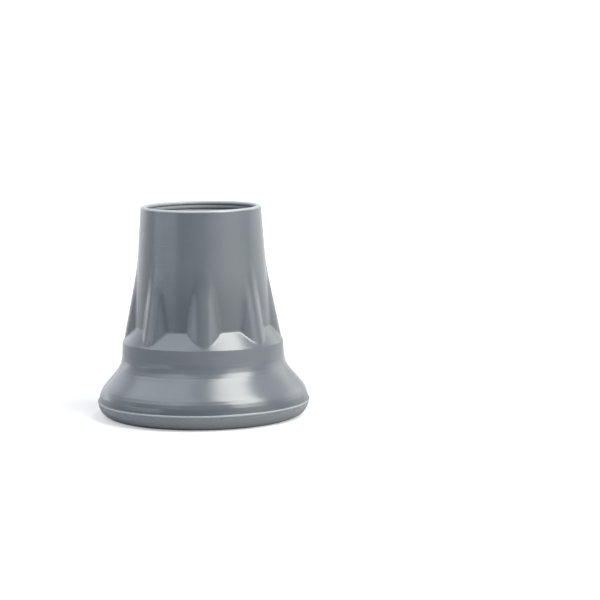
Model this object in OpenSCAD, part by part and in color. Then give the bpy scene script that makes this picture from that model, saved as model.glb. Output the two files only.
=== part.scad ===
// Rubber cane tip: a ribbed socket for the shaft, flaring through a bell
// to a round tread sole with hexagonal lugs. One moulding, in millimetres.
// The origin is the centre of the sole and +Z runs up the socket.

/* [Overall] */
// Height from the floor to the top of the mouth
tip_height = 43.2; // [38:0.1:60]
// Widest diameter, at the parting line of the mould
base_diameter = 43.8; // [43.2:0.1:50]

/* [Socket] */
// Diameter of the bore that grips the cane
socket_diameter = 22.2; // [16:0.1:23]
// Depth of the bore below the mouth
socket_depth = 33; // [22:0.5:36]
// Fillet between the bore and its floor
socket_fillet = 1.2; // [0.5:0.1:3]
// Number of grip grooves below the mouth
groove_count = 3; // [1:1:6]
// Width of a grip groove where it meets the bore
groove_width = 0.5; // [0.3:0.05:0.6]
// Depth of a grip groove
groove_depth = 0.2; // [0.1:0.05:0.4]
// Distance from the mouth to the middle of the first groove
groove_start = 0.9; // [0.9:0.05:3]
// Distance between grooves
groove_pitch = 0.85; // [0.75:0.05:3]

/* [Collar] */
// Wall of the collar at the mouth
mouth_wall = 1.2; // [1.2:0.05:2]
// Draft of the collar's outside
collar_draft = 4.2; // [2:0.1:5]
// Rounding of both edges of the mouth
mouth_round = 0.55; // [0.2:0.05:0.58]

/* [Ribs] */
// Number of ribs around the collar
rib_count = 8; // [4:1:9]
// Radius of a rib's rounded nose
rib_nose_radius = 3.4; // [2:0.1:3.6]
// Angle between a rib's flanks
rib_flank_angle = 100; // [80:1:110]
// Slope of a rib's nose from the vertical
rib_flare = 11.2; // [9:0.1:12]
// Height at which the ribs rise out of the collar
rib_top = 30.9; // [27:0.1:33]

/* [Shoulder] */
// Diameter of the shoulder's rim
shoulder_diameter = 33; // [32.5:0.1:35]
// Height of the shoulder's rim
shoulder_height = 15.5; // [15:0.1:17]
// Slope of the ledge above the rim, from the vertical
ledge_slope = 36.6; // [30:0.1:45]
// Rounding of the rim
rim_round = 0.4; // [0.2:0.05:0.6]
// Fillet at the foot of the collar
collar_fillet = 0.5; // [0.2:0.05:0.8]

/* [Bell] */
// Draft of the band under the rim
band_draft = 2.5; // [1:0.1:4]
// Height of the corner between the band and the bell
band_foot = 10.8; // [10:0.1:11.5]
// Fillet between the band and the bell
bell_fillet = 5.8; // [2:0.1:6]
// Height of the corner between the bell and its skirt
skirt_top = 5.4; // [5.1:0.1:6]
// Draft of the skirt above the parting line
skirt_draft = 5.8; // [4:0.1:10]
// Rounding between the skirt and the bell
bell_round = 5.2; // [2:0.1:5.6]

/* [Sole] */
// Height of the parting line above the floor
parting_height = 3.4; // [3.2:0.1:3.6]
// Step between the two mould halves
parting_step = 0.36; // [0.2:0.02:0.6]
// Rounding of the parting line's edge
parting_round = 0.15; // [0.1:0.01:0.18]
// Draft of the sole's side below the parting line
sole_draft = 14; // [5:0.5:15]
// Rounding under the sole's outer edge
sole_round = 3.2; // [2:0.1:3.2]
// Diameter of the recess that holds the lugs
recess_diameter = 32.8; // [31:0.1:33.2]
// Depth of the recess
recess_depth = 2.8; // [2:0.1:3]
// Rounding of the recess's edge
recess_round = 1.6; // [0.5:0.1:1.8]
// Fillet around the recess's floor
recess_fillet = 0.5; // [0.2:0.1:1]

/* [Lugs] */
// Width of a lug across its flats
lug_width = 6.1; // [5:0.1:7]
// Distance between the centres of neighbouring lugs
lug_pitch = 8.4; // [8:0.1:9]
// Diameter of the circle that trims the outer lugs
lug_field_diameter = 29.6; // [28:0.1:30.4]
// Rings of lugs around the middle one
lug_rings = 2; // [1:1:2]

/* [Hidden] */
$fn = 64;
large_arc_facets = 48;
small_arc_facets = 16;
small_arc_limit = 2;
overlap = 0.3;
hexagon = 6;
// How far a rib's bar runs on inside the band, inside the collar and inside the wall
bar_sink = 1;
bar_rise = 3;
root_sink = 1.5;

base_r = base_diameter / 2;
socket_r = socket_diameter / 2;
mouth_r = socket_r + mouth_wall;
shoulder_r = shoulder_diameter / 2;
recess_r = recess_diameter / 2;
socket_floor = tip_height - socket_depth;

// Radius of the collar and of a rib's nose at a height
function collar_r(z) = mouth_r + (tip_height - z) * tan(collar_draft);
function nose_r(z) = collar_r(rib_top) + (rib_top - z) * tan(rib_flare);

// The collar's foot, where its wall meets the sloping ledge
ledge_run = tan(ledge_slope);
collar_foot = (shoulder_r + shoulder_height * ledge_run - mouth_r - tip_height * tan(collar_draft))
    / (ledge_run - tan(collar_draft));

// Depth of a rib from its nose to its root inside the wall
rib_depth = nose_r(collar_foot) - collar_r(collar_foot) + root_sink;

band_foot_r = shoulder_r + (shoulder_height - band_foot) * tan(band_draft);
sole_r = base_r - parting_height * tan(sole_draft);
skirt_foot_r = base_r - parting_step;
skirt_top_r = skirt_foot_r - (skirt_top - parting_height) * tan(skirt_draft);

// Corners of half the body's section, each as [radius, height, rounding]
groove_corners = [
    for (i = [0 : groove_count - 1])
        let (middle = tip_height - groove_start - i * groove_pitch)
        each [
            [socket_r, middle + groove_width / 2, 0],
            [socket_r + groove_depth, middle, 0],
            [socket_r, middle - groove_width / 2, 0],
        ]
];
section_corners = concat(
    [
        [0, recess_depth, 0],
        [recess_r, recess_depth, recess_fillet],
        [recess_r, 0, recess_round],
        [sole_r, 0, sole_round],
        [base_r, parting_height, parting_round],
        [skirt_foot_r, parting_height, 0],
        [skirt_top_r, skirt_top, bell_round],
        [band_foot_r, band_foot, bell_fillet],
        [shoulder_r, shoulder_height, rim_round],
        [collar_r(collar_foot), collar_foot, collar_fillet],
        [mouth_r, tip_height, mouth_round],
        [socket_r, tip_height, mouth_round],
    ],
    groove_corners,
    [
        [socket_r, socket_floor, socket_fillet],
        [0, socket_floor, 0],
    ]
);

function unit(v) = v / norm(v);
function point(corner) = [corner[0], corner[1]];

// The sliver between a corner and the arc of radius r that rounds it
module corner_sliver(before, corner, after, r) {
    u = unit(before - corner);
    v = unit(after - corner);
    inward = unit(u + v);
    half_angle = acos(u * v) / 2;
    reach = r / tan(half_angle);
    difference() {
        polygon([corner + u * reach, corner - inward * overlap, corner + v * reach]);
        translate(corner + inward * r / sin(half_angle))
            circle(r = r, $fn = r > small_arc_limit ? large_arc_facets : small_arc_facets);
    }
}

// Slivers of all the corners that turn one way: 1 for outer, -1 for inner
module corner_slivers(corners, turn) {
    count = len(corners);
    for (i = [0 : count - 1]) {
        before = point(corners[(i + count - 1) % count]);
        corner = point(corners[i]);
        after = point(corners[(i + 1) % count]);
        r = corners[i][2];
        if (r > 0 && sign(cross(corner - before, after - corner)) == turn)
            corner_sliver(before, corner, after, r);
    }
}

// A closed outline with its outer corners rounded and its inner ones filleted
module rounded_outline(corners) {
    difference() {
        union() {
            polygon([for (corner = corners) point(corner)]);
            corner_slivers(corners, -1);
        }
        corner_slivers(corners, 1);
    }
}

// Section of a rib, its nose at the origin: a wedge with a rounded edge
module rib_section() {
    half_angle = rib_flank_angle / 2;
    edge_x = rib_nose_radius * (1 / sin(half_angle) - 1);
    root_y = (rib_depth + edge_x) * tan(half_angle);
    rounded_outline([
        [edge_x, 0, rib_nose_radius],
        [-rib_depth, root_y, 0],
        [-rib_depth, -root_y, 0],
    ]);
}

// One rib: a bar that leans along the nose line, from inside the band to
// inside the collar
module rib() {
    rib_foot = shoulder_height - bar_sink;
    bar_length = (rib_top + bar_rise - rib_foot) / cos(rib_flare);
    translate([nose_r(rib_foot), 0, rib_foot])
        rotate([0, -rib_flare, 0])
            linear_extrude(bar_length)
                rib_section();
}

// The ribs, cut back to the middle of the socket's wall
module ribs() {
    difference() {
        for (i = [0 : rib_count - 1])
            rotate([0, 0, i * 360 / rib_count - 90])
                rib();
        cylinder(r = (socket_r + collar_r(rib_top)) / 2, h = tip_height);
    }
}

// Hexagonal lugs on a triangular grid, trimmed to a round field
module lugs() {
    intersection() {
        for (q = [-lug_rings : lug_rings])
            for (s = [max(-lug_rings, -q - lug_rings) : min(lug_rings, -q + lug_rings)])
                translate([(q + s / 2) * lug_pitch, s * lug_pitch * sin(60), 0])
                    rotate([0, 0, 30])
                        cylinder(d = lug_width / cos(30), h = recess_depth + overlap, $fn = hexagon);
        cylinder(d = lug_field_diameter, h = recess_depth + overlap);
    }
}

module cane_tip() {
    color("#8b929a") {
        rotate_extrude()
            rounded_outline(section_corners);
        ribs();
        lugs();
    }
}

cane_tip();
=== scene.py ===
"""Rubber cane tip: a ribbed socket for the shaft that flares into a bell over a lugged tread.

The tip is one rubber moulding. Its body is a profile turned about the socket's axis, with the ribs
blended into it, and its tread lugs fill the recess in the sole. All lengths are in metres, the sole
rests on z = 0, and +Z runs up the socket.
"""

import math

import bpy
import numpy as np
from mathutils import Matrix, Vector


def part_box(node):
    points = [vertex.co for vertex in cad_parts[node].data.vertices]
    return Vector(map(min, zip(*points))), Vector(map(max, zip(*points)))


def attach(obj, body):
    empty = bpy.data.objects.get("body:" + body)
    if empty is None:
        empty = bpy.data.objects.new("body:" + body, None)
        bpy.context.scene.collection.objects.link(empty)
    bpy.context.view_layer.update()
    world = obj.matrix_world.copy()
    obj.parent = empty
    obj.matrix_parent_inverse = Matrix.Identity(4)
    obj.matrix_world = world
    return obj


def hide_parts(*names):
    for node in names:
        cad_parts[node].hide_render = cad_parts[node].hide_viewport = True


bl_info = {
    "name": "Rubber cane tip",
    "version": (1, 0, 0),
    "blender": (4, 5, 0),
    "location": "View3D > Sidebar > Cane tip",
    "description": "Moulds a ribbed rubber cane tip with a lugged tread, and sets its studio",
    "category": "Add Mesh",
}

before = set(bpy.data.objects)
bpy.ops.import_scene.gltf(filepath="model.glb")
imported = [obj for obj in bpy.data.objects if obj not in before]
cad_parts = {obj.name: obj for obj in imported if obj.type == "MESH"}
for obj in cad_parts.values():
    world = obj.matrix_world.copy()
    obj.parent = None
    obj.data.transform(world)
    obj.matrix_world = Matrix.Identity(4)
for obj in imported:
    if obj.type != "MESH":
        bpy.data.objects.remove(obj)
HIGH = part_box("cane_tip")[1]
MM = 0.001

# Each lamp's place and size in metres, its power in watts and the name of its colour
LAMPS = {
    "key_box": ((0.320, -0.236, 0.471), (0.37, 0.52), 5.98, "warm"),
    "right_low_box": ((0.470, -0.329, 0.197), (0.36, 0.20), 0.34, "warm"),
    "left_box": ((-0.349, -0.120, 0.494), (0.85, 0.48), 2.56, "cool"),
    "left_strip": ((-0.282, -0.097, 0.055), (0.28, 0.02), 0.11, "cool"),
    "left_back_box": ((-0.313, 0.482, 0.192), (0.34, 0.32), 0.26, "cool"),
    "left_back_strip": ((-0.416, 0.431, 0.058), (0.18, 0.05), 0.05, "cool"),
    "right_strip": ((0.453, -0.393, 0.043), (0.90, 0.08), 0.32, "warm"),
    "right_back_box": ((0.483, 0.326, 0.167), (0.40, 0.24), 0.27, "warm"),
    "top_strip": ((0.003, 0.165, 0.598), (0.70, 0.12), 0.79, "warm"),
}


# Sizes and colours


def length(name, description, default):
    """A length property, with its default in millimetres."""
    return bpy.props.FloatProperty(
        name=name, description=description, default=default * MM, min=0, precision=5, unit="LENGTH"
    )


def angle(name, description, default):
    """An angle property, with its default in degrees."""
    return bpy.props.FloatProperty(
        name=name, description=description, default=math.radians(default), unit="ROTATION"
    )


def colour(name, description, default):
    """A colour property, with its default as an sRGB hex value."""
    return bpy.props.FloatVectorProperty(
        name=name, description=description, default=linear(default)[:3], min=0, max=1,
        size=3, subtype="COLOR",
    )


def linear(hex_value):
    """Turns an sRGB hex value such as '#8b929a' into linear red, green, blue and an alpha of 1."""
    srgb = np.array([int(hex_value[i : i + 2], 16) for i in (1, 3, 5)]) / 255
    low, high = srgb / 12.92, ((srgb + 0.055) / 1.055) ** 2.4
    return (*np.where(srgb <= 0.04045, low, high).tolist(), 1.0)


class CaneTipSocket(bpy.types.PropertyGroup):
    """The bore that grips the cane."""

    diameter: length("Socket diameter", "Bore that the cane presses into", 22.2)
    depth: length("Socket depth", "Depth of the bore below the mouth", 33)
    floor_fillet: length("Floor fillet", "Fillet between the bore and its floor", 1.2)
    groove_count: bpy.props.IntProperty(
        name="Grooves", description="Number of grip grooves under the mouth", default=3, min=1,
        max=6,
    )
    groove_width: length("Groove width", "Width of a grip groove at the bore", 0.5)
    groove_depth: length("Groove depth", "Depth of a grip groove", 0.2)
    groove_start: length("Groove start", "From the mouth to the middle of the first groove", 0.9)
    groove_pitch: length("Groove pitch", "Distance between grooves", 0.85)
    groove_round: length("Groove rounding", "Rounding of a groove's three corners", 0.18)


class CaneTipCollar(bpy.types.PropertyGroup):
    """The collar's wall and the ribs that stiffen it."""

    wall: length("Wall", "Wall of the collar at the mouth", 1.2)
    draft: angle("Draft", "Slope of the collar's outside from the vertical", 4.2)
    mouth_round: length("Mouth rounding", "Rounding of both edges of the mouth", 0.55)
    rib_count: bpy.props.IntProperty(
        name="Ribs", description="Number of ribs around the collar", default=8, min=3, max=12
    )
    nose_radius: length("Nose radius", "Radius of a rib's rounded nose", 3.4)
    flank_angle: angle("Flank angle", "Angle between a rib's flanks", 100)
    flare: angle("Rib flare", "Slope of a rib's nose from the vertical", 11.2)
    rib_top: length("Rib top", "Height at which the ribs rise out of the collar", 30.9)
    rib_blend: length("Rib blend", "Width over which a rib runs into the collar's wall", 0.45)
    ledge_blend: length("Ledge blend", "Width over which a rib runs into the ledge", 0.2)


class CaneTipBell(bpy.types.PropertyGroup):
    """The shoulder, the bell under it and the rim of the sole."""

    shoulder: length("Shoulder diameter", "Diameter of the shoulder's rim", 33)
    shoulder_height: length("Shoulder height", "Height of the shoulder's rim", 15.5)
    ledge_slope: angle("Ledge slope", "Slope of the ledge above the rim from the vertical", 36.6)
    rim_round: length("Rim rounding", "Rounding of the shoulder's rim", 0.4)
    collar_fillet: length("Collar fillet", "Fillet at the foot of the collar", 0.5)
    band_draft: angle("Band draft", "Slope of the band under the rim from the vertical", 2.5)
    band_foot: length("Band foot", "Height of the corner between band and bell", 10.8)
    bell_fillet: length("Bell fillet", "Fillet between the band and the bell", 5.8)
    skirt_top: length("Skirt top", "Height of the corner between the bell and its skirt", 5.4)
    skirt_draft: angle("Skirt draft", "Slope of the skirt from the vertical", 5.8)
    bell_round: length("Bell rounding", "Rounding between the skirt and the bell", 5.2)
    parting: length("Parting height", "Height of the mould's parting line", 3.4)
    parting_step: length("Parting step", "Step between the two halves of the mould", 0.36)
    parting_round: length("Parting rounding", "Rounding of the parting line's edges", 0.15)


class CaneTipTread(bpy.types.PropertyGroup):
    """The sole's contact ring, its recess and the lugs."""

    side_draft: angle("Side draft", "Slope of the sole's side below the parting line", 14)
    sole_round: length("Sole rounding", "Rounding under the sole's outer edge", 3.2)
    recess: length("Recess diameter", "Diameter of the recess that holds the lugs", 32.8)
    recess_depth: length("Recess depth", "Depth of the recess", 2.8)
    recess_round: length("Recess rounding", "Rounding of the recess's edge", 1.6)
    recess_fillet: length("Recess fillet", "Fillet around the recess's floor", 0.5)
    lug_width: length("Lug width", "Width of a lug across its flats", 6.1)
    lug_pitch: length("Lug pitch", "Distance between the centres of neighbouring lugs", 8.4)
    lug_field: length("Lug field", "Diameter of the circle that trims the outer lugs", 29.6)
    lug_rings: bpy.props.IntProperty(
        name="Lug rings", description="Rings of lugs around the middle one", default=2, min=1, max=2
    )
    lug_round: length("Lug edge", "Rounding of the edge around a lug's top", 0.2)
    lug_sharpness: bpy.props.FloatProperty(
        name="Lug sharpness", description="How square a lug's corners are", default=26, min=8,
        max=80,
    )


class CaneTipFinish(bpy.types.PropertyGroup):
    """The rubber's colours."""

    grey: colour("Grey", "Colour of the rubber", "#60666c")
    streak: colour("Streak", "Colour of the slightly darker streaks in the rubber", "#5b6167")
    # The bore's rubber is duller, and this paler colour is partly painted fill light that lifts the
    # shade inside the bore.
    bore: colour("Bore", "Colour of the duller rubber inside the socket", "#787e82")
    # The rubber below the parting line is duller, and this paler colour is partly a painted
    # reflection of the floor on the sole's underside.
    sole: colour("Sole", "Colour of the duller rubber below the parting line", "#6b7176")
    # Painted shade: this darker grey stands for shade above the parting line and low in the hollows
    # between the ribs.
    painted_shade: colour("Crease", "Colour of the rubber where mould release gathers", "#51575d")
    # Painted highlight: this pale colour stands for the highlight on the mouth's lip and the
    # parting line's edge, which are also dull where the flash was trimmed.
    trimmed_and_highlit: colour("Trimmed edge", "Colour of the rubber where the flash was trimmed", "#9ca2a6")


class CaneTipStudio(bpy.types.PropertyGroup):
    """The camera and the lamps."""

    lens: bpy.props.FloatProperty(
        name="Lens", description="Focal length in millimetres", default=148.2, min=20,
        subtype="DISTANCE_CAMERA",
    )
    camera: bpy.props.FloatVectorProperty(
        name="Camera", description="Where the camera stands", size=3, subtype="TRANSLATION",
        default=(-0.008923, -0.502932, 0.08769),
    )
    heading: angle("Heading", "Direction the camera looks in, from +Y towards +X", 3.3)
    tilt: angle("Tilt", "How far the camera looks down", 7.276)
    roll: angle("Roll", "How far the camera leans to its right", 0.657)
    warm: colour("Warm light", "Colour of the lamps on the right and above", "#fffef9")
    cool: colour("Cool light", "Colour of the lamps on the left", "#eef3ff")


# Shapes


def unit(vector):
    """The vector at a length of one."""
    return vector / np.linalg.norm(vector)


def corner_arc(before, corner, after, radius, step):
    """The points of the arc that rounds a corner.

    The arc's centre lies on the corner's bisector, and the arc meets both sides at a distance of
    radius / tan(half the corner's angle) from the corner. The number of points is odd, so that one
    stands in the middle, and they are no further apart than the angle step.
    """
    towards_before, towards_after = unit(before - corner), unit(after - corner)
    half = math.acos(float(np.clip(towards_before @ towards_after, -1, 1))) / 2
    bisector = unit(towards_before + towards_after)
    centre = corner + bisector * radius / math.sin(half)
    sweep = math.pi / 2 - half
    count = max(3, 2 * math.ceil(sweep / step) + 1)
    turn = np.linspace(-sweep, sweep, count)
    side = unit(towards_after - towards_before)
    return centre + radius * (np.outer(np.cos(turn), -bisector) + np.outer(np.sin(turn), side))


def rounded_profile(corners, step=math.radians(16)):
    """An open profile of [radius, height] points from corners of [radius, height, rounding]."""
    corners = np.array(corners, float)
    parts = [corners[:1, :2]]
    for before, corner, after in zip(corners[:-2], corners[1:-1], corners[2:]):
        if corner[2] > 0:
            parts.append(corner_arc(before[:2], corner[:2], after[:2], corner[2], step))
        else:
            parts.append(corner[None, :2])
    parts.append(corners[-1:, :2])
    return np.vstack(parts)


def hold_edges(profile, hold, longest):
    """Cuts a profile's long straights close to their ends and into equal steps.

    A straight of more than four holds gets a point one hold inside each end, so that smooth shading
    stays on the rounding beside it, and what is left is cut into steps no longer than longest. The
    chords of the bell's wide arcs are long enough to be cut as well.
    """
    parts = []
    for start, end in zip(profile[:-1], profile[1:]):
        span = np.linalg.norm(end - start)
        cuts = np.array([0.0])
        if span > 4 * hold:
            steps = math.ceil((span - 2 * hold) / longest) + 1
            cuts = np.append(cuts, np.linspace(hold / span, 1 - hold / span, steps))
        parts.append(start + cuts[:, None] * (end - start))
    parts.append(profile[-1:])
    return np.vstack(parts)


def smooth_max(a, b, width):
    """The larger of a and b, with a parabola where they differ by less than width."""
    near = np.clip(width - np.abs(a - b), 0, None) / width
    return np.maximum(a, b) + near * near * width / 4


def collar_radius(sizes, z):
    """Radius of the collar's outside: the mouth's radius plus the draft times the way down."""
    mouth = sizes.cane_tip_socket.diameter / 2 + sizes.cane_tip_collar.wall
    return mouth + (HIGH.z - z) * math.tan(sizes.cane_tip_collar.draft)


def rib_radius(sizes, turn, z):
    """Radius of the ribs' outside over a grid of azimuths and heights.

    The nose of a rib runs down a line that leans outwards by the flare, and the rib's section
    square to that line is a wedge with a rounded edge. With x outwards from the line and y across
    the rib, the flank solves y = (edge - x) tan(half angle) along the ray at that azimuth, and the
    nose solves (x + r)^2 + y^2 = r^2.
    """
    collar = sizes.cane_tip_collar
    half = collar.flank_angle / 2
    lean, spread, nose = math.cos(collar.flare), math.tan(half), collar.nose_radius
    pitch = 2 * math.pi / collar.rib_count
    off = np.abs((turn + math.pi / 2 + pitch / 2) % pitch - pitch / 2)[None, :]
    line = collar_radius(sizes, collar.rib_top) + (collar.rib_top - z) * math.tan(collar.flare)
    line = line[:, None]
    edge = nose * (1 / math.sin(half) - 1)
    across, along = np.sin(off), np.cos(off) * lean
    flank = (edge + line * lean) * spread / (across + along * spread)
    shift, square = nose - line * lean, along**2 + across**2
    inside = (along * shift) ** 2 - square * (shift**2 - nose**2)
    round_nose = (np.sqrt(np.clip(inside, 0, None)) - along * shift) / square
    on_nose = (inside > 0) & (round_nose * across < nose * math.cos(half))
    return np.where(on_nose, round_nose, flank)


def ledge_top(sizes):
    """Height where the ledge's slope meets the collar's wall."""
    collar, bell = sizes.cane_tip_collar, sizes.cane_tip_bell
    run, draft = math.tan(bell.ledge_slope), math.tan(collar.draft)
    gap = bell.shoulder / 2 + bell.shoulder_height * run - collar_radius(sizes, 0)
    return gap / (run - draft)


def outer_corners(sizes):
    """Corners of the outside's profile, from the middle of the recess to the top of the mouth."""
    collar, bell, tread = sizes.cane_tip_collar, sizes.cane_tip_bell, sizes.cane_tip_tread
    base, shoulder = HIGH.x, bell.shoulder / 2
    mouth = collar_radius(sizes, HIGH.z)
    foot = ledge_top(sizes)
    band_foot = shoulder + (bell.shoulder_height - bell.band_foot) * math.tan(bell.band_draft)
    sole = base - bell.parting * math.tan(tread.side_draft)
    skirt_foot = base - bell.parting_step
    skirt_top = skirt_foot - (bell.skirt_top - bell.parting) * math.tan(bell.skirt_draft)
    middle = sizes.cane_tip_socket.diameter / 2 + collar.wall / 2
    return [
        [0, tread.recess_depth, 0],
        [tread.recess / 2, tread.recess_depth, tread.recess_fillet],
        [tread.recess / 2, 0, tread.recess_round],
        [sole, 0, tread.sole_round],
        [base, bell.parting, bell.parting_round],
        [skirt_foot, bell.parting, bell.parting_round / 2],
        [skirt_top, bell.skirt_top, bell.bell_round],
        [band_foot, bell.band_foot, bell.bell_fillet],
        [shoulder, bell.shoulder_height, bell.rim_round],
        [collar_radius(sizes, foot), foot, bell.collar_fillet],
        [mouth, HIGH.z, collar.mouth_round],
        [middle, HIGH.z, 0],
    ]


def bore_corners(sizes):
    """Corners of the socket's profile, from the top of the mouth to the middle of its floor."""
    socket, collar = sizes.cane_tip_socket, sizes.cane_tip_collar
    bore, floor = socket.diameter / 2, HIGH.z - socket.depth
    corners = [[bore + collar.wall / 2, HIGH.z, 0], [bore, HIGH.z, collar.mouth_round]]
    for i in range(socket.groove_count):
        middle = HIGH.z - socket.groove_start - i * socket.groove_pitch
        corners.append([bore, middle + socket.groove_width / 2, socket.groove_round])
        corners.append([bore + socket.groove_depth, middle, socket.groove_round])
        corners.append([bore, middle - socket.groove_width / 2, socket.groove_round])
    return [*corners, [bore, floor, socket.floor_fillet], [0, floor, 0]]


def turned_mesh(name, radius, height, turn):
    """A closed mesh from a grid of radii over rows of heights and columns of azimuths.

    A point is (radius cos turn, radius sin turn, height). The first and last rows lie on the axis,
    and each becomes a single point with a fan of triangles.
    """
    rows, columns = radius.shape
    z = np.broadcast_to(height[:, None], radius.shape)
    ring = np.stack([radius * np.cos(turn), radius * np.sin(turn), z], axis=-1)[1:-1].reshape(-1, 3)
    points = np.vstack([ring, [[0, 0, height[0]], [0, 0, height[-1]]]])
    grid = np.arange((rows - 2) * columns).reshape(rows - 2, columns)
    after = np.roll(grid, -1, axis=1)
    quads = np.stack([grid[:-1], after[:-1], after[1:], grid[1:]], axis=-1).reshape(-1, 4)
    first, last = len(ring), len(ring) + 1
    bottom = np.stack([np.full(columns, first), after[0], grid[0]], axis=-1)
    top = np.stack([np.full(columns, last), grid[-1], after[-1]], axis=-1)
    return shell(name, points, [quads, bottom, top])


def shell(name, points, face_groups):
    """A smooth-shaded mesh from points and arrays of faces, put in with foreach_set."""
    mesh = bpy.data.meshes.new(name)
    sizes = np.concatenate([np.full(len(faces), faces.shape[1]) for faces in face_groups])
    starts = np.concatenate([[0], np.cumsum(sizes)[:-1]]).astype(np.int32)
    corners = np.concatenate([faces.ravel() for faces in face_groups]).astype(np.int32)
    mesh.vertices.add(len(points))
    mesh.vertices.foreach_set("co", points.astype(np.float32).ravel())
    mesh.loops.add(len(corners))
    mesh.loops.foreach_set("vertex_index", corners)
    mesh.polygons.add(len(sizes))
    mesh.polygons.foreach_set("loop_start", starts)
    mesh.polygons.foreach_set("use_smooth", np.ones(len(sizes), bool))
    mesh.update(calc_edges=True)
    if mesh.validate():
        raise RuntimeError(f"{name} has broken faces")
    return mesh


def body_mesh(sizes, columns=360):
    """The body: its profile turned about the axis, blended with the ribs above the rim.

    The ribs rise out of the collar's wall and out of the ledge, so from the rim to a little above
    the ribs' top each row's radius is the smooth maximum of the profile's and the ribs'. The blend
    between them widens from the ledge's width to the collar's over the first run above the ledge.
    """
    collar, bell = sizes.cane_tip_collar, sizes.cane_tip_bell
    hold, ribbed_step, plain_step, bore_step = 0.08 * MM, 0.27 * MM, 4 * MM, 8 * MM
    run = 3 * MM
    outside = rounded_profile(outer_corners(sizes))
    ribbed_from = bell.shoulder_height + bell.rim_round / 2
    ribbed_to = collar.rib_top + run
    below, above = outside[:, 1] < ribbed_from, outside[:, 1] > ribbed_to
    below[: np.argmax(~below)] = True
    first, last = np.flatnonzero(below)[-1], np.flatnonzero(above)[0]
    drop = outside[last, 1] - ribbed_to
    upper_end = outside[last] + [drop * math.tan(collar.draft), -drop]
    plain_foot = hold_edges(outside[: first + 1], hold, plain_step)
    ribbed = hold_edges(np.vstack([outside[first:last], upper_end]), hold, ribbed_step)
    plain_top = hold_edges(np.vstack([upper_end, outside[last:]]), hold, plain_step)
    bore = hold_edges(rounded_profile(bore_corners(sizes)), hold, bore_step)
    profile = np.vstack([plain_foot[:-1], ribbed[:-1], plain_top[:-1], bore])
    turn = np.arange(columns) * 2 * math.pi / columns
    radius = np.repeat(profile[:, :1], columns, axis=1)
    rows = slice(len(plain_foot) - 1, len(plain_foot) + len(ribbed) - 2)
    ribs = rib_radius(sizes, turn, profile[rows, 1])
    rise = (profile[rows, 1] - ledge_top(sizes))[:, None]
    blend = np.interp(rise, [0, run], [collar.ledge_blend, collar.rib_blend])
    radius[rows] = smooth_max(radius[rows], ribs, blend)
    return turned_mesh("tip_body", radius, profile[:, 1], turn)


def lug_grid(tread):
    """Centres of the lugs: a triangular grid of whole rings around the middle one."""
    rings = tread.lug_rings
    q, s = np.meshgrid(np.arange(-rings, rings + 1), np.arange(-rings, rings + 1))
    kept = np.abs(q + s) <= rings
    q, s = q[kept], s[kept]
    return np.stack([(q + s / 2), s * math.sqrt(3) / 2], axis=-1) * tread.lug_pitch


def lug_outlines(tread, spin):
    """A point inside each lug, and the way from it to the lug's outline at each angle.

    The point is the lug's centre, or for a lug that the field's circle trims, the middle of what is
    left of it. The way is a smooth least of the ways w to the six flats and to that circle, the sum
    of w^-n to the power -1/n with n the sharpness, which rounds the corners between them a little.
    """
    centres = lug_grid(tread)
    apothem, field = tread.lug_width / 2, tread.lug_field / 2
    tiny = 1e-9
    out = np.linalg.norm(centres, axis=1)
    outward = centres / np.maximum(out, tiny)[:, None]
    flats = np.radians(np.arange(6) * 60)
    normals = np.stack([np.cos(flats), np.sin(flats)], axis=-1)
    facing = np.max(outward @ normals.T, axis=1)
    reach = apothem / np.where(out > 0, facing, 1)
    middle = np.where(out + reach > field, (out - reach + field) / 2, out)
    seeds = outward * middle[:, None]
    rays = np.stack([np.cos(spin), np.sin(spin)], axis=-1)
    gap = apothem - (seeds - centres) @ normals.T
    closing = np.maximum(rays @ normals.T, tiny)
    to_flats = gap[:, None, :] / closing[None, :, :]
    along = seeds @ rays.T
    to_circle = np.sqrt(along**2 - (seeds**2).sum(1)[:, None] + field**2) - along
    ways = np.concatenate([to_flats, to_circle[:, :, None]], axis=2)
    power = -tread.lug_sharpness
    return seeds, (ways**power).sum(axis=2) ** (1 / power)


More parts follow.
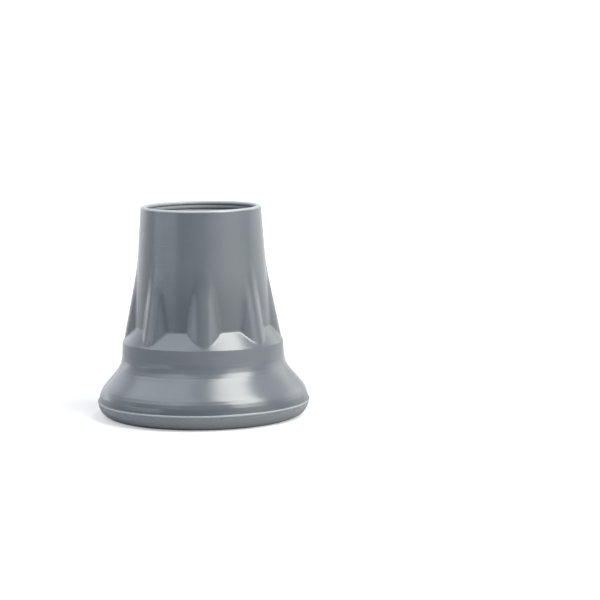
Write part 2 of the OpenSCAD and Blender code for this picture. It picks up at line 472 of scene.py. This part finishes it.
def lug_mesh(sizes, columns=96, edge_rows=6):
    """All the lugs as closed islands: each outline carried along the profile of a lug's side.

    The profile runs from a root inside the body's rubber down the lug's side, round the edge of its
    top, which is the face that meets the ground, and in towards the middle of it. It is a row of
    offsets from the outline and a row of heights. The last row is the outline at half its size, and
    fans of triangles close the root and the top.
    """
    tread = sizes.cane_tip_tread
    spin = np.arange(columns) * 2 * math.pi / columns
    seeds, ways = lug_outlines(tread, spin)
    turn = np.linspace(0, math.pi / 2, edge_rows)
    edge, root_depth = tread.lug_round, 0.2 * MM
    side = [tread.recess_depth + root_depth, 2 * edge]
    offset = np.concatenate([[0.0, 0.0], edge * (np.cos(turn) - 1), [-2 * edge]])
    height = np.concatenate([side, edge * (1 - np.sin(turn)), [0.0, 0.0]])
    reach = ways[:, None, :] + offset[None, :, None]
    reach = np.concatenate([reach, reach[:, -1:, :] / 2], axis=1)
    lugs, rows = reach.shape[:2]
    x = seeds[:, 0, None, None] + reach * np.cos(spin)
    y = seeds[:, 1, None, None] + reach * np.sin(spin)
    z = np.broadcast_to(height[None, :, None], reach.shape)
    ring = np.stack([x, y, z], axis=-1).reshape(-1, 3)
    roots = np.column_stack([seeds, np.full(lugs, height[0])])
    tops = np.column_stack([seeds, np.full(lugs, height[-1])])
    grid = np.arange(lugs * rows * columns).reshape(lugs, rows, columns)
    after = np.roll(grid, -1, axis=2)
    quads = np.stack([grid[:, :-1], grid[:, 1:], after[:, 1:], after[:, :-1]], axis=-1)
    root = np.broadcast_to((len(ring) + np.arange(lugs))[:, None], (lugs, columns))
    root_fan = np.stack([root, grid[:, 0], after[:, 0]], axis=-1)
    top_fan = np.stack([root + lugs, after[:, -1], grid[:, -1]], axis=-1)
    points = np.vstack([ring, roots, tops])
    faces = [quads.reshape(-1, 4), root_fan.reshape(-1, 3), top_fan.reshape(-1, 3)]
    return shell("tread_lugs", points, faces)


# Finishes


def add_node(tree, kind, settings=None, values=None, links=None):
    """Adds one node, with its settings, its sockets' values and the links into it."""
    made = tree.nodes.new(kind)
    for name, value in (settings or {}).items():
        setattr(made, name, value)
    for socket, value in (values or {}).items():
        made.inputs[socket].default_value = value
    for socket, source in (links or {}).items():
        tree.links.new(source, made.inputs[socket])
    return made


def new_tree(holder):
    """The empty node tree of a material or world."""
    holder.use_nodes = True
    holder.node_tree.nodes.clear()
    return holder.node_tree


def moulded_rubber(sizes):
    """Satin grey rubber, compression moulded in a turned steel mould.

    Filled rubber is an opaque dielectric with soft reflections. Its filler gives slow streaks of a
    slightly darker grey, and the mould leaves a fine skin grain and faint turning rings. Where the
    mould is blasted, in the bore and under the sole, the rubber is duller, and its paler colour
    there
    is partly painted light: fill in the bore's shade and the floor's reflection under the sole.
    Shade is painted as a darker grey above the parting line and in the hollows between the ribs,
    and the edges where the flash was trimmed are dull, with a pale painted highlight.
    """
    material = bpy.data.materials.new("moulded_grey_rubber")
    tree = new_tree(material)
    place = add_node(tree, "ShaderNodeTexCoord").outputs["Object"]
    parts = add_node(tree, "ShaderNodeSeparateXYZ", links={"Vector": place}).outputs
    flat = add_node(tree, "ShaderNodeCombineXYZ", links={"X": parts["X"], "Y": parts["Y"]})
    height = parts["Z"]
    radius = add_node(
        tree,
        "ShaderNodeVectorMath",
        settings={"operation": "LENGTH"},
        links={0: flat.outputs["Vector"]},
    ).outputs["Value"]
    inside = bore_mask(tree, sizes, radius)
    trimmed_and_highlit = highlight_edge_mask(tree, height, radius)
    skin = add_node(
        tree,
        "ShaderNodeBsdfPrincipled",
        values={"IOR": 1.6},
        links={
            "Base Color": rubber_colour(tree, sizes, place, height, radius, inside, trimmed_and_highlit),
            "Roughness": rubber_roughness(tree, sizes, place, height, inside, trimmed_and_highlit),
            "Normal": skin_relief(tree, place, height),
        },
    )
    add_node(tree, "ShaderNodeOutputMaterial", links={"Surface": skin.outputs["BSDF"]})
    return material


def bore_mask(tree, sizes, radius):
    """1 in the bore and its grooves, 0 elsewhere."""
    socket, margin = sizes.cane_tip_socket, 0.1 * MM
    return add_node(
        tree,
        "ShaderNodeMath",
        settings={"operation": "LESS_THAN"},
        values={1: socket.diameter / 2 + socket.groove_depth + margin},
        links={0: radius},
    ).outputs["Value"]


# The edges found here get a painted highlight in the colour and a duller roughness.
def highlight_edge_mask(tree, height, radius):
    """1 on the trimmed edges that get a painted highlight: around the top of the mouth and on the
    parting line's edge.
    """
    lip_depth, lip_full = 0.5 * MM, 0.1 * MM
    edge_depth, edge_full = 0.11 * MM, 0.05 * MM
    lip = add_node(
        tree,
        "ShaderNodeMapRange",
        settings={"interpolation_type": "SMOOTHSTEP"},
        values={"From Min": HIGH.z - lip_depth, "From Max": HIGH.z - lip_full},
        links={"Value": height},
    )
    edge = add_node(
        tree,
        "ShaderNodeMapRange",
        settings={"interpolation_type": "SMOOTHSTEP"},
        values={"From Min": HIGH.x - edge_depth, "From Max": HIGH.x - edge_full},
        links={"Value": radius},
    )
    return add_node(
        tree,
        "ShaderNodeMath",
        settings={"operation": "MAXIMUM"},
        links={0: lip.outputs["Result"], 1: edge.outputs["Result"]},
    ).outputs["Value"]


# Painted shade: the mask lays a darker grey where shade falls, above the parting line and towards
# the foot of the hollows between the ribs.
def painted_shade_mask(tree, sizes, height, radius):
    """1 where shade is painted, above the parting line and in the hollows between the ribs.

    On the collar's wall, radius + height * tan(draft) is the same all the way down, so what a point
    has over that is its distance from the wall. The hollows' mask fades with that distance and with
    the height. It ends above the ledge, where distance * tan(slope) + height falls to what it is at
    the ledge's top.
    """
    parting = sizes.cane_tip_bell.parting
    skirt_start, skirt_end = parting + 0.2 * MM, parting + 2.6 * MM
    wall_near, wall_clear = 0.1 * MM, 0.7 * MM
    hollow_full, hollow_end = 22 * MM, 33 * MM
    ledge_clear, ledge_full = 0.05 * MM, 0.35 * MM
    draft, slope = math.tan(sizes.cane_tip_collar.draft), math.tan(sizes.cane_tip_bell.ledge_slope)
    wall = collar_radius(sizes, 0)
    ledge = ledge_top(sizes) + wall * slope
    skirt_shade = add_node(
        tree,
        "ShaderNodeMapRange",
        settings={"interpolation_type": "SMOOTHSTEP"},
        values={"From Min": skirt_start, "From Max": skirt_end, "To Min": 1.0, "To Max": 0.0},
        links={"Value": height},
    )
    from_wall = add_node(
        tree,
        "ShaderNodeMath",
        settings={"operation": "MULTIPLY_ADD"},
        values={1: draft},
        links={0: height, 2: radius},
    )
    from_ledge = add_node(
        tree,
        "ShaderNodeMath",
        settings={"operation": "MULTIPLY_ADD"},
        values={1: slope},
        links={0: from_wall.outputs["Value"], 2: height},
    )
    hollow = add_node(
        tree,
        "ShaderNodeMapRange",
        settings={"interpolation_type": "SMOOTHSTEP"},
        values={
            "From Min": wall + wall_near,
            "From Max": wall + wall_clear,
            "To Min": 1.0,
            "To Max": 0.0,
        },
        links={"Value": from_wall.outputs["Value"]},
    )
    sunk = add_node(
        tree,
        "ShaderNodeMapRange",
        settings={"interpolation_type": "SMOOTHSTEP"},
        values={"From Min": hollow_full, "From Max": hollow_end, "To Min": 1.0, "To Max": 0.0},
        links={"Value": height},
    )
    above = add_node(
        tree,
        "ShaderNodeMapRange",
        settings={"interpolation_type": "SMOOTHSTEP"},
        values={"From Min": ledge + ledge_clear, "From Max": ledge + ledge_full},
        links={"Value": from_ledge.outputs["Value"]},
    )
    hollow_shade = add_node(
        tree,
        "ShaderNodeMath",
        settings={"operation": "MULTIPLY"},
        links={0: hollow.outputs["Result"], 1: sunk.outputs["Result"]},
    )
    return add_node(
        tree,
        "ShaderNodeMath",
        settings={"operation": "MULTIPLY_ADD"},
        links={
            0: hollow_shade.outputs["Value"],
            1: above.outputs["Result"],
            2: skirt_shade.outputs["Result"],
        },
    ).outputs["Value"]


def rubber_colour(tree, sizes, place, height, radius, inside, trimmed_and_highlit):
    """The rubber's grey, with the other tones laid over it in turn, each through its own mask."""
    finish, parting = sizes.cane_tip_finish, sizes.cane_tip_bell.parting
    streak_width = 7.143 * MM
    sole_full, sole_end = parting - 0.1 * MM, parting + 0.05 * MM
    streaks = add_node(
        tree,
        "ShaderNodeTexNoise",
        values={"Scale": 1 / streak_width, "Detail": 3, "Roughness": 0.55},
        links={"Vector": place},
    )
    below = add_node(
        tree,
        "ShaderNodeMapRange",
        settings={"interpolation_type": "SMOOTHSTEP"},
        values={"From Min": sole_full, "From Max": sole_end, "To Min": 1.0, "To Max": 0.0},
        links={"Value": height},
    )
    tones = (
        (finish.streak, streaks.outputs["Fac"]),
        # painted shade above the parting line and in the rib hollows
        (finish.painted_shade, painted_shade_mask(tree, sizes, height, radius)),
        # paler bore, partly painted fill light
        (finish.bore, inside),
        # paler sole, partly a painted reflection of the floor
        (finish.sole, below.outputs["Result"]),
        # painted highlight on the trimmed edges
        (finish.trimmed_and_highlit, trimmed_and_highlit),
    )
    under = {}
    for tone, mask in tones:
        blend = add_node(
            tree,
            "ShaderNodeMix",
            settings={"data_type": "RGBA"},
            values={"A": (*finish.grey, 1), "B": (*tone, 1)},
            links={**under, "Factor": mask},
        )
        under = {"A": blend.outputs["Result"]}
    return under["A"]


def rubber_roughness(tree, sizes, place, height, inside, trimmed_and_highlit):
    """Satin outside, dull in the bore, under the sole and where trimmed, and uneven in patches."""
    satin, bore_dull, sole_dull, ground = 0.25, 0.65, 0.5, 0.5
    patch_width, patch_low, patch_high = 2.222 * MM, 0.3, 0.7
    smoother, rougher = 0.94, 1.08
    dull_end = sizes.cane_tip_bell.parting - 0.2 * MM
    walls = add_node(
        tree, "ShaderNodeMix", values={"A": satin, "B": bore_dull}, links={"Factor": inside}
    )
    lower = add_node(
        tree,
        "ShaderNodeMapRange",
        settings={"interpolation_type": "SMOOTHSTEP"},
        values={"From Min": 0.0, "From Max": dull_end, "To Min": 1.0, "To Max": 0.0},
        links={"Value": height},
    )
    blasted = add_node(
        tree,
        "ShaderNodeMix",
        values={"B": sole_dull},
        links={"Factor": lower.outputs["Result"], "A": walls.outputs["Result"]},
    )
    patches = add_node(
        tree,
        "ShaderNodeTexNoise",
        values={"Scale": 1 / patch_width, "Detail": 4, "Roughness": 0.6},
        links={"Vector": place},
    )
    uneven = add_node(
        tree,
        "ShaderNodeMapRange",
        values={
            "From Min": patch_low,
            "From Max": patch_high,
            "To Min": smoother,
            "To Max": rougher,
        },
        links={"Value": patches.outputs["Fac"]},
    )
    skinned = add_node(
        tree,
        "ShaderNodeMath",
        settings={"operation": "MULTIPLY"},
        links={0: blasted.outputs["Result"], 1: uneven.outputs["Result"]},
    )
    return add_node(
        tree,
        "ShaderNodeMix",
        values={"B": ground},
        links={"Factor": trimmed_and_highlit, "A": skinned.outputs["Value"]},
    ).outputs["Result"]


def skin_relief(tree, place, height):
    """The skin's grain and the turning rings of the mould, each 0.02 mm high at full strength.

    The grain is drawn at 0.25 mm, where the real one is about 0.1 mm, so that it shows. The rings
    run around the axis.
    """
    grain_width, ring_gap, relief = 0.25 * MM, 0.4 * MM, 0.02 * MM
    grain = add_node(
        tree,
        "ShaderNodeTexNoise",
        values={"Scale": 1 / grain_width, "Detail": 2, "Roughness": 0.5},
        links={"Vector": place},
    )
    rings = add_node(
        tree,
        "ShaderNodeTexNoise",
        settings={"noise_dimensions": "1D"},
        values={"Scale": 1 / ring_gap, "Detail": 2, "Roughness": 0.7},
        links={"W": height},
    )
    grained = add_node(
        tree,
        "ShaderNodeBump",
        values={"Strength": 0.12, "Distance": relief},
        links={"Height": grain.outputs["Fac"]},
    )
    return add_node(
        tree,
        "ShaderNodeBump",
        values={"Strength": 0.9, "Distance": relief},
        links={"Height": rings.outputs["Fac"], "Normal": grained.outputs["Normal"]},
    ).outputs["Normal"]


def sightlines(tree):
    """Two masks: 1 where the camera looks, and 1 where a reflection or glass looks."""
    rays = add_node(tree, "ShaderNodeLightPath").outputs
    mirrored = add_node(
        tree,
        "ShaderNodeMath",
        settings={"operation": "MAXIMUM"},
        links={0: rays["Is Glossy Ray"], 1: rays["Is Transmission Ray"]},
    )
    return rays["Is Camera Ray"], mirrored.outputs["Value"]


def studio_paper():
    """Matt pale studio paper, lifted to white for the eye.

    The lift is small around the tip, so that its shadow stays, and full from 0.4 m on, so that the
    paper has no horizon. Reflections see it lifted behind the tip, where the white backdrop is.
    """
    shadow_reach, horizon, near_lift = 0.03, 0.4, 0.42
    lifted_from, lifted_to = 0.02, 0.35
    material = bpy.data.materials.new("studio_paper")
    tree = new_tree(material)
    place = add_node(tree, "ShaderNodeTexCoord").outputs["Object"]
    parts = add_node(tree, "ShaderNodeSeparateXYZ", links={"Vector": place})
    reach = add_node(
        tree, "ShaderNodeVectorMath", settings={"operation": "LENGTH"}, links={0: place}
    )
    far = add_node(
        tree,
        "ShaderNodeMapRange",
        settings={"interpolation_type": "SMOOTHSTEP"},
        values={"From Min": shadow_reach, "From Max": horizon, "To Min": near_lift, "To Max": 1.0},
        links={"Value": reach.outputs["Value"]},
    )
    behind = add_node(
        tree,
        "ShaderNodeMapRange",
        settings={"interpolation_type": "SMOOTHSTEP"},
        values={"From Min": lifted_from, "From Max": lifted_to},
        links={"Value": parts.outputs["Y"]},
    )
    camera, mirrored = sightlines(tree)
    shown = add_node(
        tree,
        "ShaderNodeMath",
        settings={"operation": "MULTIPLY"},
        links={0: camera, 1: far.outputs["Result"]},
    )
    lift = add_node(
        tree,
        "ShaderNodeMath",
        settings={"operation": "MULTIPLY_ADD"},
        links={0: mirrored, 1: behind.outputs["Result"], 2: shown.outputs["Value"]},
    )
    paper = add_node(tree, "ShaderNodeBsdfDiffuse", values={"Color": linear("#c4c5c6")})
    glow = add_node(
        tree,
        "ShaderNodeEmission",
        values={"Color": (1, 1, 1, 1)},
        links={"Strength": lift.outputs["Value"]},
    )
    both = add_node(
        tree, "ShaderNodeAddShader", links={0: paper.outputs["BSDF"], 1: glow.outputs["Emission"]}
    )
    add_node(tree, "ShaderNodeOutputMaterial", links={"Surface": both.outputs["Shader"]})
    return material


def studio_world():
    """White for the camera, and faint for matt surfaces.

    Reflections see it white behind the tip and dim in front. Y is the way's share towards the back.
    """
    front, back = -0.3, 0.6
    dim, white, faint = 0.05, 1.0, 0.12
    world = bpy.data.worlds.new("studio")
    tree = new_tree(world)
    way = add_node(tree, "ShaderNodeTexCoord").outputs["Object"]
    parts = add_node(tree, "ShaderNodeSeparateXYZ", links={"Vector": way})
    backdrop = add_node(
        tree,
        "ShaderNodeMapRange",
        settings={"interpolation_type": "SMOOTHSTEP"},
        values={"From Min": front, "From Max": back, "To Min": dim, "To Max": white},
        links={"Value": parts.outputs["Y"]},
    )
    camera, mirrored = sightlines(tree)
    reflected = add_node(
        tree,
        "ShaderNodeMix",
        values={"A": faint},
        links={"Factor": mirrored, "B": backdrop.outputs["Result"]},
    )
    strength = add_node(
        tree,
        "ShaderNodeMix",
        values={"B": white},
        links={"Factor": camera, "A": reflected.outputs["Result"]},
    )
    light = add_node(
        tree,
        "ShaderNodeBackground",
        values={"Color": (1, 1, 1, 1)},
        links={"Strength": strength.outputs["Result"]},
    )
    add_node(tree, "ShaderNodeOutputWorld", links={"Surface": light.outputs["Background"]})
    return world


# Operators


def place_piece(mesh, material):
    """Puts a mesh into the scene as a piece of the tip that stands for the CAD node."""
    mesh.materials.append(material)
    piece = bpy.data.objects.new(mesh.name, mesh)
    bpy.context.scene.collection.objects.link(piece)
    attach(piece, "root")
    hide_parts("cane_tip")


def rubber(scene):
    """The tip's rubber, made once."""
    return bpy.data.materials.get("moulded_grey_rubber") or moulded_rubber(scene)


class CANETIP_OT_body(bpy.types.Operator):
    """Mould the body: recess, sole, bell, shoulder, ribbed collar and socket"""

    bl_idname = "cane_tip.body"
    bl_label = "Mould body"
    bl_options = {"REGISTER", "UNDO"}

    def execute(self, context):
        place_piece(body_mesh(context.scene), rubber(context.scene))
        return {"FINISHED"}


class CANETIP_OT_lugs(bpy.types.Operator):
    """Mould the hexagonal lugs of the tread"""

    bl_idname = "cane_tip.lugs"
    bl_label = "Mould lugs"
    bl_options = {"REGISTER", "UNDO"}

    def execute(self, context):
        place_piece(lug_mesh(context.scene), rubber(context.scene))
        return {"FINISHED"}


class CANETIP_OT_studio(bpy.types.Operator):
    """Set the camera, the lamps, the world and the paper floor"""

    bl_idname = "cane_tip.studio"
    bl_label = "Set studio"
    bl_options = {"REGISTER", "UNDO"}

    def execute(self, context):
        scene = context.scene
        studio = scene.cane_tip_studio
        self.set_camera(scene, studio)
        for name, (place, size, power, tint) in LAMPS.items():
            self.add_lamp(scene, name, place, size, power, getattr(studio, tint))
        self.add_floor(scene)
        scene.world = studio_world()
        scene.view_settings.view_transform = "Standard"
        return {"FINISHED"}

    def set_camera(self, scene, studio):
        """Stands the camera, with its axes worked out from its heading, tilt and roll."""
        turn, tilt, roll = studio.heading, studio.tilt, studio.roll
        level = Vector((math.sin(turn), math.cos(turn), 0))
        ahead = level * math.cos(tilt) - Vector((0, 0, math.sin(tilt)))
        right = Vector((math.cos(turn), -math.sin(turn), 0))
        up = right.cross(ahead)
        leaned = right * math.cos(roll) - up * math.sin(roll)
        risen = right * math.sin(roll) + up * math.cos(roll)
        data = bpy.data.cameras.new("camera")
        data.lens, data.sensor_width = studio.lens, 36
        data.clip_start, data.clip_end = 0.01, 50
        camera = bpy.data.objects.new("camera", data)
        axes = Matrix((leaned, risen, -ahead)).transposed()
        camera.matrix_world = Matrix.Translation(studio.camera) @ axes.to_4x4()
        scene.collection.objects.link(camera)
        scene.camera = camera

    def add_lamp(self, scene, name, place, size, power, tint):
        """Hangs a soft box at a place, turned to the middle of the tip."""
        data = bpy.data.lights.new(name, "AREA")
        data.color = tint
        data.shape, data.size, data.size_y, data.energy = "RECTANGLE", *size, power
        lamp = bpy.data.objects.new(name, data)
        lamp.location = place
        aim = Vector((0, 0, HIGH.z / 2)) - lamp.location
        lamp.rotation_euler = aim.to_track_quat("-Z", "Y").to_euler()
        scene.collection.objects.link(lamp)

    def add_floor(self, scene):
        """Lays the sheet of paper under the sole: one square, 30 m across."""
        reach = 15
        corners = np.array([[-1, -1, 0], [1, -1, 0], [1, 1, 0], [-1, 1, 0]]) * reach
        mesh = shell("floor", corners, [np.array([[0, 1, 2, 3]])])
        mesh.materials.append(studio_paper())
        floor = bpy.data.objects.new("floor", mesh)
        scene.collection.objects.link(floor)


class CANETIP_PT_panel(bpy.types.Panel):
    """The cane tip's operators and sizes"""

    bl_idname = "CANETIP_PT_panel"
    bl_label = "Rubber cane tip"
    bl_space_type = "VIEW_3D"
    bl_region_type = "UI"
    bl_category = "Cane tip"

    def draw(self, context):
        for operator in (CANETIP_OT_studio, CANETIP_OT_body, CANETIP_OT_lugs):
            self.layout.operator(operator.bl_idname)
        for group, name in GROUPS.items():
            box = self.layout.box()
            for prop in group.__annotations__:
                box.prop(getattr(context.scene, name), prop)


GROUPS = {
    CaneTipSocket: "cane_tip_socket",
    CaneTipCollar: "cane_tip_collar",
    CaneTipBell: "cane_tip_bell",
    CaneTipTread: "cane_tip_tread",
    CaneTipFinish: "cane_tip_finish",
    CaneTipStudio: "cane_tip_studio",
}
CLASSES = (*GROUPS, CANETIP_OT_studio, CANETIP_OT_body, CANETIP_OT_lugs, CANETIP_PT_panel)


def register():
    """Registers the classes and hangs the groups of properties on the scene."""
    for cls in CLASSES:
        bpy.utils.register_class(cls)
    for group, name in GROUPS.items():
        setattr(bpy.types.Scene, name, bpy.props.PointerProperty(type=group))


def unregister():
    """Takes the groups and the classes away again."""
    for name in GROUPS.values():
        delattr(bpy.types.Scene, name)
    for cls in reversed(CLASSES):
        bpy.utils.unregister_class(cls)


def main():
    register()
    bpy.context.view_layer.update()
    bpy.ops.cane_tip.studio()
    bpy.ops.cane_tip.body()
    bpy.ops.cane_tip.lugs()


if __name__ == "__main__":
    main()
